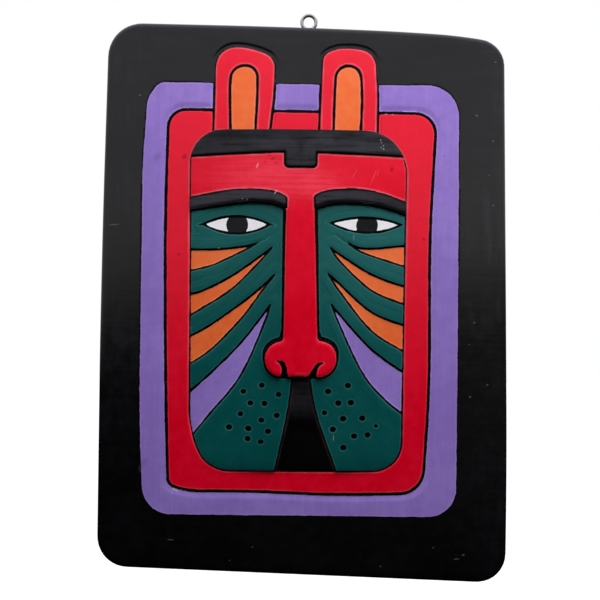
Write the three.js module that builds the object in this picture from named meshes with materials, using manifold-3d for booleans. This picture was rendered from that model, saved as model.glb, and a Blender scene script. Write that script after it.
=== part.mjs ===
// A carved wall plaque: a rounded wooden board with a stylised animal face in low relief, and the
// screw eye in its top edge that it hangs by. Millimetres, +Z up, and the face looks along -Y.
// The origin is the centre of the screw eye's ring.

import * as THREE from "three";
import { mergeVertices } from "three/addons/utils/BufferGeometryUtils.js";
import Module from "manifold-3d";

const wasm = await Module();
wasm.setup();

// ---- Driving sizes -----------------------------------------------------------------------------

const BOARD_THICKNESS = 20;
const BOARD_EDGE_ROUNDING = 4;

// Where the screw eye stands over the middle of the board.
const EYE_ACROSS = 1.1;
const EYE_ABOVE_MIDDLE = 206.9;

const WIRE_RADIUS = 1.3;
const RING_RADIUS = 5.23;
const SHANK_RADIUS = 1.25;
const SHANK_TIP_Z = -22;
const SHANK_POINT_LENGTH = 3;
const CLEARANCE = 0.3;

// Heights above the board's front face.
const FOREHEAD_HEIGHT = 8.5;
const BROW_STEP = 0.8;
const HAIR_STEP = 1.5;
const CHEEK_HEIGHT = 4.2;
const SURROUND_HEIGHT = 0.3;
const EAR_HEIGHT = 0.4;

// Depths of the cuts.
const GOUGE_DEPTH = 1.3;
const GOUGE_WIDTH = 4;
const GOUGE_LIP = 0.01;
const RELIEF_BEVEL = 0.8;
const WEDGE_DEPTH = 1.5;
const PHILTRUM_DEPTH = 1.2;
const EYE_DEPTH = 0.7;
const NOSTRIL_DEPTH = 2.5;
const INNER_EAR_DEPTH = 1.1;

// The face is domed across, and rolls back at its top and bottom ends.
const FACE_MIDDLE_X = -4.5;
const FOREHEAD_DOME_RADIUS = 520;
const CHEEK_DOME_RADIUS = 870;
const FACE_HALF_LENGTH = 125;
const ROLL_LENGTH = 16;
const ROLL_DEPTH = 2.6;
const ROLL_STEPS = 4;
const DOME_FACET = 11;

// The brow's flat top stops this far above its lower edge, and a chamfer runs down from there.
const BROW_CHAMFER = 3.6;

// A curved corner's handles reach this share of the way back to the corner.
const CORNER_HANDLE = 0.56;

// Cutting tools and raised blocks reach from well inside the board to well in front of it.
const BURIED = -3;
const IN_FRONT = 30;

// ---- Outlines ----------------------------------------------------------------------------------
// Drawn from the middle of the board, x to the right and z up. A corner is [x, z, run]: the run is
// how far from the corner its rounding starts, and a corner with no run is sharp.

const BOARD_CORNERS = [
  [-144.6, 202.4, 25],
  [-20, 201.0, 45],
  [70, 198.2, 35],
  [145.0, 193.4, 23],
  [147.9, 0, 60],
  [149.3, -120, 40],
  [148.6, -204.5, 22],
  [-148.7, -195.3, 22],
  [-148.2, 20, 80],
];

const RED_SURROUND_CORNERS = [
  [-99.8, 139.6, 8],
  [94.8, 138.3, 12],
  [91.8, 46, 25],
  [93.2, -62, 30],
  [88.8, -139, 17],
  [-101, -139.9, 15],
  [-101.6, 10, 50],
];

const FACE_CORNERS = [
  [-83.8, 123.3, 18],
  [73.2, 123.4, 19],
  [72.2, -122.9, 21],
  [-66, -123.7, 14],
  [-82.2, -94, 14],
];

const HAIR_CORNERS = [
  [-95, 135],
  [85, 135],
  [85, 104.6],
  [8.2, 106.2],
  [8.2, 95.6, 2],
  [-15.5, 95.6, 2],
  [-15.5, 106.4],
  [-95, 103.2],
];

const FOREHEAD_AND_NOSE_CORNERS = [
  [-95, 135],
  [85, 135],
  [85, 68],
  [38, 75.5, 25],
  [6.6, 71, 2],
  [7.2, 10, 20],
  [8.9, -28.6, 2],
  [23.9, -29.6, 9],
  [23.9, -54.2, 9],
  [-27.9, -54.6, 9],
  [-27.9, -30.2, 9],
  [-13.9, -29.2, 2],
  [-13.3, 71, 2],
  [-42, 75.5, 25],
  [-95, 68],
];

const LEFT_BROW_CORNERS = [
  [-95, 72.4],
  [-62, 79, 11],
  [-41, 81, 9],
  [-22, 79.4, 6],
  [-12.7, 74.8, 2],
  [-13.2, 66, 2],
  [-26, 70, 7],
  [-41, 70.4, 7],
  [-61, 67.6, 10],
  [-95, 62.4],
];

const RIGHT_BROW_CORNERS = [
  [5.8, 75.8, 2],
  [14, 80, 6],
  [36, 82, 9],
  [54, 79.4, 9],
  [85, 68.6],
  [85, 58.4],
  [56, 68, 8],
  [39, 70.4, 8],
  [19, 70, 7],
  [6.6, 65.4, 2],
];

const PHILTRUM_CORNERS = [
  [-8, -50],
  [5, -50],
  [7.6, -76, 15],
  [25.4, -125],
  [-20.4, -125],
  [-9.8, -76, 15],
];

const NOSTRIL_CORNERS = [
  [-19.6, -43.2, 0.6],
  [-15.4, -42.4, 2],
  [-12.3, -46.5, 3],
  [-10.4, -57],
  [-16.6, -57],
  [-14.6, -50.6, 2],
  [-14.9, -46.6, 2],
];
const NOSTRILS_MIDDLE_X = -2.8;

const LEFT_EAR_CORNERS = [
  [-68, 112],
  [-65.8, 184.4, 18],
  [-24, 184.2, 13],
  [-23.7, 166, 5],
  [-27.4, 112],
];

const RIGHT_EAR_CORNERS = [
  [9, 112],
  [11, 183.4, 14],
  [50.2, 183.4, 18],
  [50.8, 112],
];

const LEFT_INNER_EAR_CORNERS = [
  [-53.6, 112],
  [-54.8, 150, 10],
  [-53.2, 170.4, 8],
  [-36.2, 170.2, 8],
  [-36.8, 150, 10],
  [-38.6, 112],
];

const RIGHT_INNER_EAR_CORNERS = [
  [20.3, 112],
  [21.2, 169.4, 8.8],
  [39.4, 169.4, 8.8],
  [38.3, 112],
];

// An almond eye runs between two tips, [x, z], with the tops of its upper and lower lids.
const EYES = [
  { inner: [-25.2, 55.4], outer: [-74.2, 55.4], upper: 61.3, lower: 48.3 },
  { inner: [18.3, 56.8], outer: [70, 56.4], upper: 61.6, lower: 50.0 },
];

// A wedge runs from the face's outer edge to its tail. Each of its two edges is a smooth curve
// through the points given, and both end at the tail.
const WEDGES = [
  {
    upper: [[-92, 37], [-70, 36.8], [-58, 37.5], [-44, 39.1]],
    lower: [[-92, 19.6], [-69.7, 24.6], [-58, 29.5], [-44, 36.4]],
    tail: [-35, 41.3],
  },
  {
    upper: [[-92, 3.2], [-75.5, 6.2], [-52.5, 17.9], [-33, 31.6]],
    lower: [[-92, -16.4], [-75, -6.3], [-52.5, 8.4], [-32.5, 28.4]],
    tail: [-23.6, 38.7],
  },
  {
    upper: [[-92, -31.2], [-69.2, -18.7], [-46.2, -2.5], [-31.5, 9.5]],
    lower: [[-92, -51.5], [-69, -37.2], [-46.1, -13.8], [-31, 6.6]],
    tail: [-21.6, 19],
  },
  {
    upper: [[-92, -75], [-68.7, -54.1], [-46, -31.2], [-28.2, -8]],
    lower: [[-88, -108], [-68.4, -83.4], [-45.6, -54.6], [-29, -17]],
    tail: [-23.4, -1.4],
  },
  {
    upper: [[82, 42.2], [69.6, 40.9], [53, 39], [41, 38.9]],
    lower: [[82, 23.8], [69.8, 27], [58.9, 30.3], [41.5, 36]],
    tail: [32, 41.8],
  },
  {
    upper: [[82, 10.8], [70, 12.4], [47.5, 20.5], [24.6, 34.6]],
    lower: [[82, -3], [70.1, -0.5], [47.6, 9.2], [25.4, 29.4]],
    tail: [18.8, 38.9],
  },
  {
    upper: [[82, -17.6], [70.3, -15.8], [47.8, -6.6], [23.8, 14.4]],
    lower: [[82, -40.4], [70.5, -34.3], [47.9, -19.8], [24.8, 8.6]],
    tail: [17, 20.3],
  },
  {
    upper: [[82, -55.6], [70.7, -49.5], [48.1, -33.3], [23.6, -6.8]],
    lower: [[82, -88], [60.1, -71.3], [42.5, -50.8], [25, -15]],
    tail: [19.9, -1.9],
  },
];

// ---- Helpers -----------------------------------------------------------------------------------

// A closed shape through corners, each rounded by its run.
function cornered(corners) {
  const points = corners.map(([x, z]) => new THREE.Vector2(x, z));
  const shape = new THREE.Shape();
  points.forEach((corner, i) => {
    const run = corners[i][2] ?? 0;
    const start = toward(corner, points.at(i - 1), run);
    if (i === 0) shape.moveTo(start.x, start.y);
    else shape.lineTo(start.x, start.y);
    if (run === 0) return;
    const end = toward(corner, points[(i + 1) % points.length], run);
    const startHandle = start.clone().lerp(corner, CORNER_HANDLE);
    const endHandle = end.clone().lerp(corner, CORNER_HANDLE);
    shape.bezierCurveTo(startHandle.x, startHandle.y, endHandle.x, endHandle.y, end.x, end.y);
  });
  shape.closePath();
  return shape;
}

function toward(from, to, distance) {
  return to.clone().sub(from).normalize().multiplyScalar(distance).add(from);
}

function mirrored(corners, middleX) {
  return corners.map(([x, z, run]) => [2 * middleX - x, z, run]).reverse();
}

function almond({ inner, outer, upper, lower }) {
  const middle = (inner[0] + outer[0]) / 2;
  const lidHandle = (lid) => 2 * lid - (inner[1] + outer[1]) / 2;
  const shape = new THREE.Shape();
  shape.moveTo(inner[0], inner[1]);
  shape.quadraticCurveTo(middle, lidHandle(upper), outer[0], outer[1]);
  shape.quadraticCurveTo(middle, lidHandle(lower), inner[0], inner[1]);
  return shape;
}

function wedge({ upper, lower, tail }) {
  const vectors = (points) => points.map(([x, z]) => new THREE.Vector2(x, z));
  const shape = new THREE.Shape();
  shape.moveTo(upper[0][0], upper[0][1]);
  shape.splineThru(vectors([...upper.slice(1), tail]));
  shape.splineThru(vectors([...lower].reverse()));
  shape.closePath();
  return shape;
}

// A manifold-3d solid from a three.js geometry.
function solid(geometry) {
  const bare = geometry.index ? geometry.toNonIndexed() : geometry.clone();
  bare.deleteAttribute("normal");
  bare.deleteAttribute("uv");
  const merged = mergeVertices(bare, 1e-4);
  return new wasm.Manifold(
    new wasm.Mesh({
      numProp: 3,
      vertProperties: merged.getAttribute("position").array,
      triVerts: new Uint32Array(merged.index.array),
    }),
  );
}

function geometryOf(manifold) {
  const mesh = manifold.getMesh();
  const geometry = new THREE.BufferGeometry();
  geometry.setAttribute("position", new THREE.BufferAttribute(mesh.vertProperties, 3));
  geometry.setIndex(new THREE.BufferAttribute(mesh.triVerts, 1));
  geometry.computeVertexNormals();
  return geometry;
}

// A shape extruded from one height above the board's front face to another. With a lean, each
// millimetre of height above leanFrom moves the shape that much upwards.
function block(shape, low, high, { curveSegments = 6, lean = 0, leanFrom = 0 } = {}) {
  const depth = high - low;
  const geometry = new THREE.ExtrudeGeometry(shape, { depth, curveSegments, bevelEnabled: false });
  geometry.rotateX(Math.PI / 2);
  geometry.translate(0, -BOARD_THICKNESS / 2 - low, 0);
  geometry.applyMatrix4(new THREE.Matrix4().makeShear(0, 0, 0, -lean, 0, 0));
  geometry.translate(0, 0, -lean * (BOARD_THICKNESS / 2 + leanFrom));
  return solid(geometry);
}

// The same with a bevel all round its front face.
function bevelledBlock(shape, low, high, bevel) {
  const geometry = new THREE.ExtrudeGeometry(shape, {
    depth: high - low - 2 * bevel,
    curveSegments: 6,
    bevelEnabled: true,
    bevelSegments: 1,
    bevelSize: bevel,
    bevelOffset: -bevel,
    bevelThickness: bevel,
  });
  geometry.rotateX(Math.PI / 2);
  geometry.translate(0, -BOARD_THICKNESS / 2 - low - bevel, 0);
  return solid(geometry);
}

// Everything behind a surface that is domed across and rolls back at its two ends. Its foremost
// line stands at the given height above the board's front face.
function dome(height, radius) {
  const rolled = (end, step) => {
    const angle = ((step / ROLL_STEPS) * Math.PI) / 2;
    const back = ROLL_DEPTH * (1 - Math.cos(angle));
    const along = FACE_HALF_LENGTH - ROLL_LENGTH * (1 - Math.sin(angle));
    return new THREE.Vector2(radius - back, end * along);
  };
  const profile = [new THREE.Vector2(0, -FACE_HALF_LENGTH)];
  for (let step = ROLL_STEPS; step >= 0; step--) profile.push(rolled(-1, step));
  for (let step = 0; step <= ROLL_STEPS; step++) profile.push(rolled(1, step));
  profile.push(new THREE.Vector2(0, FACE_HALF_LENGTH));
  const facets = Math.round((2 * Math.PI * radius) / DOME_FACET);
  const geometry = new THREE.LatheGeometry(profile, facets);
  geometry.rotateX(Math.PI / 2);
  geometry.translate(FACE_MIDDLE_X, radius - height - BOARD_THICKNESS / 2, 0);
  return solid(geometry);
}

// ---- The board ---------------------------------------------------------------------------------

function plainBoard() {
  const geometry = new THREE.ExtrudeGeometry(cornered(BOARD_CORNERS), {
    depth: BOARD_THICKNESS - 2 * BOARD_EDGE_ROUNDING,
    curveSegments: 8,
    bevelEnabled: true,
    bevelSegments: 4,
    bevelSize: BOARD_EDGE_ROUNDING,
    bevelOffset: -BOARD_EDGE_ROUNDING,
    bevelThickness: BOARD_EDGE_ROUNDING,
  });
  geometry.rotateX(Math.PI / 2);
  geometry.translate(0, BOARD_THICKNESS / 2 - BOARD_EDGE_ROUNDING, 0);
  return solid(geometry);
}

// A gouge slopes down to a shape's outline from outside, and the shape itself stands in it.
function sunkRelief(board, corners, height) {
  const shape = cornered(corners);
  const gouge = new THREE.ExtrudeGeometry(shape, {
    depth: GOUGE_LIP,
    curveSegments: 6,
    bevelEnabled: true,
    bevelSegments: 1,
    bevelSize: GOUGE_WIDTH,
    bevelThickness: GOUGE_DEPTH + height,
  });
  gouge.rotateX(Math.PI / 2);
  gouge.translate(0, -BOARD_THICKNESS / 2 - height, 0);
  const standing = bevelledBlock(shape, BURIED, height, RELIEF_BEVEL);
  return board.subtract(solid(gouge)).add(standing);
}

function innerEar(corners) {
  return block(cornered(corners), EAR_HEIGHT - INNER_EAR_DEPTH, IN_FRONT);
}

function surroundAndEars(board) {
  let carved = sunkRelief(board, RED_SURROUND_CORNERS, SURROUND_HEIGHT);
  for (const corners of [LEFT_EAR_CORNERS, RIGHT_EAR_CORNERS])
    carved = sunkRelief(carved, corners, EAR_HEIGHT);
  for (const corners of [LEFT_INNER_EAR_CORNERS, RIGHT_INNER_EAR_CORNERS])
    carved = carved.subtract(innerEar(corners));
  return carved;
}

// ---- The face ----------------------------------------------------------------------------------

// A brow's underside slopes down to the cheek. Its outline cuts the slope short where the face's
// dome brings the two surfaces together.
function brow(corners) {
  const shape = cornered(corners);
  const lean = BROW_CHAMFER / (FOREHEAD_HEIGHT - CHEEK_HEIGHT);
  return block(shape, BURIED, IN_FRONT, { lean, leanFrom: CHEEK_HEIGHT })
    .intersect(block(shape, BURIED, IN_FRONT))
    .intersect(dome(FOREHEAD_HEIGHT + BROW_STEP, FOREHEAD_DOME_RADIUS));
}

// A cut of a given depth into the cheeks.
function cheekCut(shape, depth, curveSegments) {
  const floor = dome(CHEEK_HEIGHT - depth, CHEEK_DOME_RADIUS);
  return block(shape, BURIED, IN_FRONT, { curveSegments }).subtract(floor);
}

function nostril(corners) {
  const floor = dome(FOREHEAD_HEIGHT - NOSTRIL_DEPTH, FOREHEAD_DOME_RADIUS);
  return block(cornered(corners), BURIED, IN_FRONT).subtract(floor);
}

function face() {
  const faceBlock = block(cornered(FACE_CORNERS), BURIED, IN_FRONT);
  let cheeks = faceBlock.intersect(dome(CHEEK_HEIGHT, CHEEK_DOME_RADIUS));
  for (const each of WEDGES) cheeks = cheeks.subtract(cheekCut(wedge(each), WEDGE_DEPTH, 2));
  for (const each of EYES) cheeks = cheeks.subtract(cheekCut(almond(each), EYE_DEPTH));
  cheeks = cheeks.subtract(cheekCut(cornered(PHILTRUM_CORNERS), PHILTRUM_DEPTH));

  let high = block(cornered(FOREHEAD_AND_NOSE_CORNERS), BURIED, IN_FRONT)
    .intersect(dome(FOREHEAD_HEIGHT, FOREHEAD_DOME_RADIUS))
    .subtract(nostril(NOSTRIL_CORNERS))
    .subtract(nostril(mirrored(NOSTRIL_CORNERS, NOSTRILS_MIDDLE_X)))
    .add(brow(LEFT_BROW_CORNERS))
    .add(brow(RIGHT_BROW_CORNERS));
  const hair = block(cornered(HAIR_CORNERS), BURIED, IN_FRONT).intersect(
    dome(FOREHEAD_HEIGHT + HAIR_STEP, FOREHEAD_DOME_RADIUS),
  );
  high = high.add(hair).intersect(faceBlock);
  return cheeks.add(high);
}

// The hole that the screw eye is driven into, down from the top edge.
function pilotHole() {
  const ceiling = 10;
  const floor = SHANK_TIP_Z - CLEARANCE;
  const geometry = new THREE.CylinderGeometry(
    SHANK_RADIUS + CLEARANCE,
    SHANK_RADIUS + CLEARANCE,
    ceiling - floor,
    20,
  );
  geometry.rotateX(Math.PI / 2);
  geometry.translate(EYE_ACROSS, 0, EYE_ABOVE_MIDDLE + (ceiling + floor) / 2);
  return solid(geometry);
}

function carvedBoard() {
  const carved = surroundAndEars(plainBoard()).add(face()).subtract(pilotHole());
  const material = new THREE.MeshStandardMaterial({
    color: 0x17181b,
    roughness: 0.38,
    metalness: 0,
  });
  const mesh = new THREE.Mesh(geometryOf(carved), material);
  mesh.name = "carved_board";
  mesh.position.set(-EYE_ACROSS, 0, -EYE_ABOVE_MIDDLE);
  return mesh;
}

// ---- The screw eye -----------------------------------------------------------------------------

function screwEye() {
  const ring = new THREE.TorusGeometry(RING_RADIUS, WIRE_RADIUS, 14, 40);
  ring.rotateX(Math.PI / 2);
  const shank = new THREE.LatheGeometry(
    [
      new THREE.Vector2(0, SHANK_TIP_Z),
      new THREE.Vector2(SHANK_RADIUS, SHANK_TIP_Z + SHANK_POINT_LENGTH),
      new THREE.Vector2(SHANK_RADIUS, -RING_RADIUS),
      new THREE.Vector2(0, -RING_RADIUS),
    ],
    20,
  );
  shank.rotateX(Math.PI / 2);
  const material = new THREE.MeshStandardMaterial({
    color: 0xb9bcc0,
    roughness: 0.3,
    metalness: 1,
  });
  const mesh = new THREE.Mesh(geometryOf(solid(ring).add(solid(shank))), material);
  mesh.name = "screw_eye";
  return mesh;
}

const plaque = new THREE.Group();
plaque.add(carvedBoard(), screwEye());

export default plaque;
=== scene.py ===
"""A carved and painted wooden wall plaque with an animal face, hung by a screw eye in its top edge."""

import math

import bmesh
import bpy
import numpy as np
from mathutils import Matrix, Vector


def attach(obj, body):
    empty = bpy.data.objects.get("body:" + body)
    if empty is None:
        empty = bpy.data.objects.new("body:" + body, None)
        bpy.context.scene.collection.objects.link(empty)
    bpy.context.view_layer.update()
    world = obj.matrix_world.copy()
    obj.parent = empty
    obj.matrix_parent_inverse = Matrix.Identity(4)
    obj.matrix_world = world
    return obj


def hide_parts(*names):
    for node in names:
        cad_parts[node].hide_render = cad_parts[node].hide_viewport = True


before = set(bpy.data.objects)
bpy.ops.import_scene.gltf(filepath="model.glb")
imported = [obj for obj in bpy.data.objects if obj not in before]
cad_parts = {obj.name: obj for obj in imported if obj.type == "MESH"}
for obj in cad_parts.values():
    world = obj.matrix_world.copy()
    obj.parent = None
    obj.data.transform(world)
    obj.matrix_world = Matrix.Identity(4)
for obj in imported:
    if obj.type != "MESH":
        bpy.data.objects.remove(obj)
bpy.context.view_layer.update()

# ---- Sizes, in millimetres, drawn from the middle of the board's front face ----
# x is to the right, z is up, and a height stands above the front face.

MM = 0.001
EYE_ACROSS = 1.1
EYE_ABOVE_MIDDLE = 206.9
HALF_THICKNESS = 10
EDGE_ROUNDING = 4
BACK_HEIGHT = -2 * HALF_THICKNESS

FOREHEAD_HEIGHT = 8.5
CHEEK_HEIGHT = 4.2
BROW_STEP = 0.8
HAIR_STEP = 1.0
SURROUND_HEIGHT = 0.3
EAR_HEIGHT = 0.4
FACE_FOOT = -1.4

EAR_MOAT_DEPTH = 0.6
EAR_MOAT_FLOOR = 1.9
EAR_MOAT_WIDTH = 3.0
INNER_EAR_DEPTH = 0.5
GOUGE_DEPTH = 0.9
GOUGE_WIDTH = 4.2
STAND_BEVEL = 0.9
CREVICE_DEPTH = 1.1
CREVICE_WIDTH = 1.0
WEDGE_DEPTH = 1.2
WEDGE_EDGE_DEPTH = 0.2
PHILTRUM_DEPTH = 1.3
EYE_DEPTH = 0.6
NOSTRIL_DEPTH = 2.4
DOT_DEPTH = 0.3
BRUSH_TAIL_DEPTH = 0.5

FACE_MIDDLE_X = -4.5
FOREHEAD_DOME_RADIUS = 520
CHEEK_DOME_RADIUS = 870
FACE_HALF_LENGTH = 125
ROLL_LENGTH = 16
ROLL_DEPTH = 2.6
RIDGE_WIDTH = 9
RIDGE_SWELL = 0.16
BROW_CHAMFER = 3.4
BROW_UPRIGHT_SHARE = 0.25
FACE_RIM_DROP = 0.8
FACE_RIM_WIDTH = 1.3
NOSE_EDGE_DROP = 0.7
NOSE_EDGE_WIDTH = 2.4
HAIR_EDGE_DROP = 0.15
HAIR_EDGE_WIDTH = 2

# Hand carving leaves a slow unevenness: its depth and how far apart its swells are.
BOARD_UNEVENNESS, BOARD_SWELLS = 0.10, 34
FACE_UNEVENNESS, FACE_SWELLS = 0.08, 16

# The black line that each colour leaves between its edge and a carved edge.
SURROUND_LINE = 2.4
EAR_LINE = 1.0
INNER_EAR_LINE = 2.1
# Along the face panel's edge the black is painted shade for the crevice where the panel meets the board.
FACE_CREVICE_SHADE = 0.7
CHEEK_CREVICE_SHADE = 0.8
WEDGE_LINE = 0.8
EYE_LINE = 1.0

# Blanks are grids of square cells: their low and high corners, and the size of a cell.
BOARD_BLANK, BOARD_CELL = ((-152, -208), (152, 206)), 3.2
FACE_BLANK, FACE_CELL = ((-86, -126), (76, 126)), 0.82
# The board's cells are halved within the first distance of an outline and again within the second.
REFINED_WITHIN = (5.8, 3.6)
# A point moves onto an outline that is nearer than this share of its shortest cell edge.
BOARD_SNAP = 0.45
FACE_SNAP = 0.42

# Below this height the board's edge and back begin, and they stay black.
PAINTED_ABOVE = -3
# The distance that stands for no paint of a colour anywhere near.
UNPAINTED = 40.0
# Edges turned by more than this are shaded sharp.
SHARP_ANGLE = math.radians(50)
# A distance greater than the board's size.
BEYOND_BOARD = 400.0
# How far the handles of a rounded corner reach towards its tip, as a share of its run.
CORNER_HANDLE = 0.56

# ---- Outlines ----
# A corner is (x, z, run): the run is how far from the corner its rounding starts.

BOARD = [
    (-145.2, 202.4, 25), (-20, 201.0, 45), (70, 198.4, 26), (112, 195.8, 15), (144.3, 190.6, 16.5),
    (147.9, 0, 60), (150.0, -120, 40), (149.8, -204.5, 22), (-149.4, -195.3, 22), (-149.0, 20, 80),
]
LILAC_FRAME = [
    (-118.6, 100, 20), (-115.6, 146.2, 5), (-107.8, 158.2, 5), (30, 157.6, 40), (110.8, 158.4, 23),
    (111.9, 20, 60), (112.2, -155.6, 21), (-115.4, -155.9, 20), (-118.9, -85, 28),
]
RED_SURROUND = [
    (-101.3, 140.0, 14), (96.2, 138.9, 17), (92.0, 46, 25), (93.2, -62, 30), (88.8, -139.5, 17),
    (34, -142, 35), (-40, -139.6, 20), (-84, -140.2, 10), (-98.8, -134.8, 5), (-101.4, -60, 40),
    (-103.2, 60, 40),
]
FACE = [
    (-83.8, 123.3, 24), (73.4, 123.4, 31), (72.2, -122.9, 21), (-69, -123.8, 15), (-82.6, -94, 14),
]
HAIR = [
    (-95, 135), (85, 135), (85, 104.6), (8.2, 106.2), (8.2, 95.6, 3.5), (-15.5, 95.6, 3.5),
    (-15.5, 106.4), (-95, 103.2),
]
FOREHEAD_AND_NOSE = [
    (-95, 135), (85, 135), (85, 68), (38, 75.5, 25), (6.4, 71, 2), (8.4, 18, 20), (9.9, -28.2, 3),
    (23.4, -29.6, 10), (23.4, -54.0, 12), (-27.6, -54.4, 12), (-27.6, -30.0, 11), (-14.7, -28.8, 3),
    (-13.7, 71, 2), (-42, 75.5, 25), (-95, 68),
]
LEFT_BROW = [
    (-95, 72.4), (-62, 79, 11), (-41, 81, 9), (-22, 79.4, 6), (-12.7, 74.8, 2), (-13.2, 66, 2),
    (-26, 70, 7), (-41, 70.4, 7), (-61, 67.6, 10), (-95, 62.4),
]
RIGHT_BROW = [
    (5.8, 75.8, 2), (14, 80, 6), (36, 82, 9), (54, 79.4, 9), (85, 68.6), (85, 58.4), (56, 68, 8),
    (39, 70.4, 8), (19, 70, 7), (6.6, 65.4, 2),
]
PHILTRUM = [
    (-7.6, -50), (4.2, -50), (7.4, -76, 15), (25.4, -125), (-20.4, -125), (-9.8, -76, 15),
]
LEFT_NOSTRIL = [
    (-19.8, -42.8, 0.6), (-14.4, -42.4, 2), (-11.4, -48.0, 4), (-11.0, -57), (-17.6, -57),
    (-15.4, -50.4, 2), (-16.0, -46.0, 2),
]
RIGHT_NOSTRIL = [
    (15.2, -43.6, 0.6), (9.8, -43.6, 2), (6.6, -48.6, 3), (1.4, -57), (8.8, -57), (9.6, -51.4, 2),
    (10.6, -46.9, 2),
]
LEFT_EAR = [
    (-67.7, 112), (-66.8, 185.4, 16), (-39, 184.8, 11), (-22.4, 176.8, 7), (-23.2, 150, 8), (-27.6, 112),
]
RIGHT_EAR = [
    (9.1, 112), (10.8, 179, 4.5), (20, 184.6, 5.5), (36, 185.2, 6), (50.4, 180.6, 8.5), (52.3, 150, 10),
    (51.9, 112),
]
LEFT_INNER_EAR = [
    (-53.6, 112), (-54.9, 150, 10), (-54.2, 169.2, 8), (-37.0, 170.8, 8.5), (-36.7, 152, 8), (-38.5, 112),
]
RIGHT_INNER_EAR = [
    (20.8, 112), (21.4, 150, 8), (22.4, 170.2, 7.5), (37.8, 171.0, 7.8), (39.6, 150, 10), (38.2, 112),
]

# Points along the lower edges of the two brows, where their chamfers start.
LEFT_BROW_FOOT = [(-95, 62.4), (-61, 67.3), (-41, 69.8), (-26, 69.4), (-13.2, 66)]
RIGHT_BROW_FOOT = [(6.6, 65.4), (19, 69.4), (39, 69.8), (56, 67.4), (85, 58.4)]

# An eye: its inner and outer tips, the tops of its two lids, and its iris.
EYES = [
    {"inner": (-25.2, 55.2), "outer": (-74.1, 55.2), "upper": 61.2, "lower": 48.4, "iris": (-49.1, 54.9)},
    {"inner": (18.4, 56.8), "outer": (69.9, 56.4), "upper": 61.2, "lower": 50.1, "iris": (44.9, 55.4)},
]
IRIS_RADIUS = 7.8

# A wedge: points along its upper and lower edges from the face's side inwards, and its tail.
WEDGES = {
    "left 1": (
        [(-92, 37), (-70, 36.8), (-58, 37.5), (-44, 39.1)],
        [(-92, 19.6), (-69.7, 24.6), (-58, 29.5), (-44, 36.4)],
        (-35, 41.3),
    ),
    "left 2": (
        [(-92, 3.2), (-75.5, 6.2), (-52.5, 17.9), (-33, 31.6)],
        [(-92, -16.4), (-75, -6.3), (-52.5, 8.4), (-32.5, 28.4)],
        (-23.6, 38.7),
    ),
    "left 3": (
        [(-92, -31.2), (-69.2, -18.7), (-46.2, -2.5), (-31.5, 9.5)],
        [(-92, -51.5), (-69, -37.2), (-46.1, -13.8), (-31, 6.6)],
        (-21.6, 19),
    ),
    "left 4": (
        [(-92, -75), (-68.7, -54.1), (-46, -31.2), (-28.2, -8)],
        [(-88, -108), (-68.4, -83.4), (-45.6, -54.6), (-29, -17)],
        (-24.4, -2.8),
    ),
    "right 1": (
        [(82, 42.2), (69.6, 40.9), (53, 39), (41, 38.9)],
        [(82, 23.8), (69.8, 27), (58.9, 30.3), (41.5, 36)],
        (32, 41.8),
    ),
    "right 2": (
        [(82, 10.8), (70, 12.4), (47.5, 20.5), (24.6, 34.6)],
        [(82, -3), (70.1, -0.5), (47.6, 9.2), (25.4, 29.4)],
        (18.8, 38.9),
    ),
    "right 3": (
        [(82, -17.6), (70.3, -15.8), (47.8, -6.6), (23.8, 14.4)],
        [(82, -40.4), (70.5, -34.3), (47.9, -19.8), (24.8, 8.6)],
        (17, 20.3),
    ),
    "right 4": (
        [(82, -55.6), (70.7, -49.5), (48.1, -33.3), (23.6, -6.8)],
        [(82, -88), (60.1, -71.3), (42.5, -50.8), (25, -15)],
        (19.9, -1.9),
    ),
}
LILAC_WEDGES = ("left 4", "right 4")

# The whisker dots on the two cheeks: x, z and half width.
WHISKER_DOTS = [
    (-29.8, -60.9, 2.2), (-43.1, -65.6, 2.1), (-17.6, -67.4, 2.2), (-37.9, -73.8, 2.2),
    (-27.8, -74.0, 2.3), (-45.1, -81.8, 2.2), (-19.0, -82.5, 2.3), (-29.9, -86.0, 2.3),
    (-53.2, -91.5, 2.3), (-39.2, -92.1, 2.4), (-24.9, -94.1, 2.4), (-39.7, -99.6, 2.3),
    (-30.2, -101.6, 2.2),
    (32.4, -60.4, 2.3), (18.1, -64.8, 2.4), (25.6, -73.2, 2.4), (34.7, -72.8, 2.4),
    (15.7, -80.2, 2.1), (29.2, -84.4, 2.5), (43.1, -84.0, 2.3), (53.0, -89.7, 1.6),
    (21.9, -92.1, 2.4), (37.2, -96.9, 2.4), (47.2, -96.0, 2.3), (29.5, -105.3, 2.4),
]

# Fine lines drawn with the tip of the brush: points along each, and its half width. The first two
# carry on from the top wedges and are cut into the cheeks.
BRUSH_TAILS = [
    ([(-36, 41.2), (-30, 43.8), (-26, 46.6)], 0.5),
    ([(33, 42.0), (27.5, 44.6), (22, 48.4)], 0.5),
    ([(-74.1, 55.2), (-78.2, 54.6)], 0.7),
    ([(-25.2, 55.2), (-20.6, 54.4)], 0.7),
    ([(18.4, 56.8), (14.6, 57.2)], 0.6),
    ([(69.9, 56.4), (71.6, 56.9)], 0.6),
]
CUT_TAILS = BRUSH_TAILS[:2]


# ---- Lines and distances ----

def rounded(corners, steps=8):
    """A closed line through corners, each rounded by its run."""
    line = []
    for i, corner in enumerate(corners):
        tip = np.array(corner[:2], float)
        run = corner[2] if len(corner) > 2 else 0
        if run == 0:
            line.append(tip)
            continue
        ends = []
        for neighbour in (corners[i - 1], corners[(i + 1) % len(corners)]):
            side = np.array(neighbour[:2], float) - tip
            ends.append(tip + side / np.linalg.norm(side) * run)
        handles = [end + (tip - end) * CORNER_HANDLE for end in ends]
        for t in np.linspace(0, 1, steps + 1):
            s = 1 - t
            before = s**3 * ends[0] + 3 * s * s * t * handles[0]
            after = 3 * s * t * t * handles[1] + t**3 * ends[1]
            line.append(before + after)
    return np.array(line)


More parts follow.
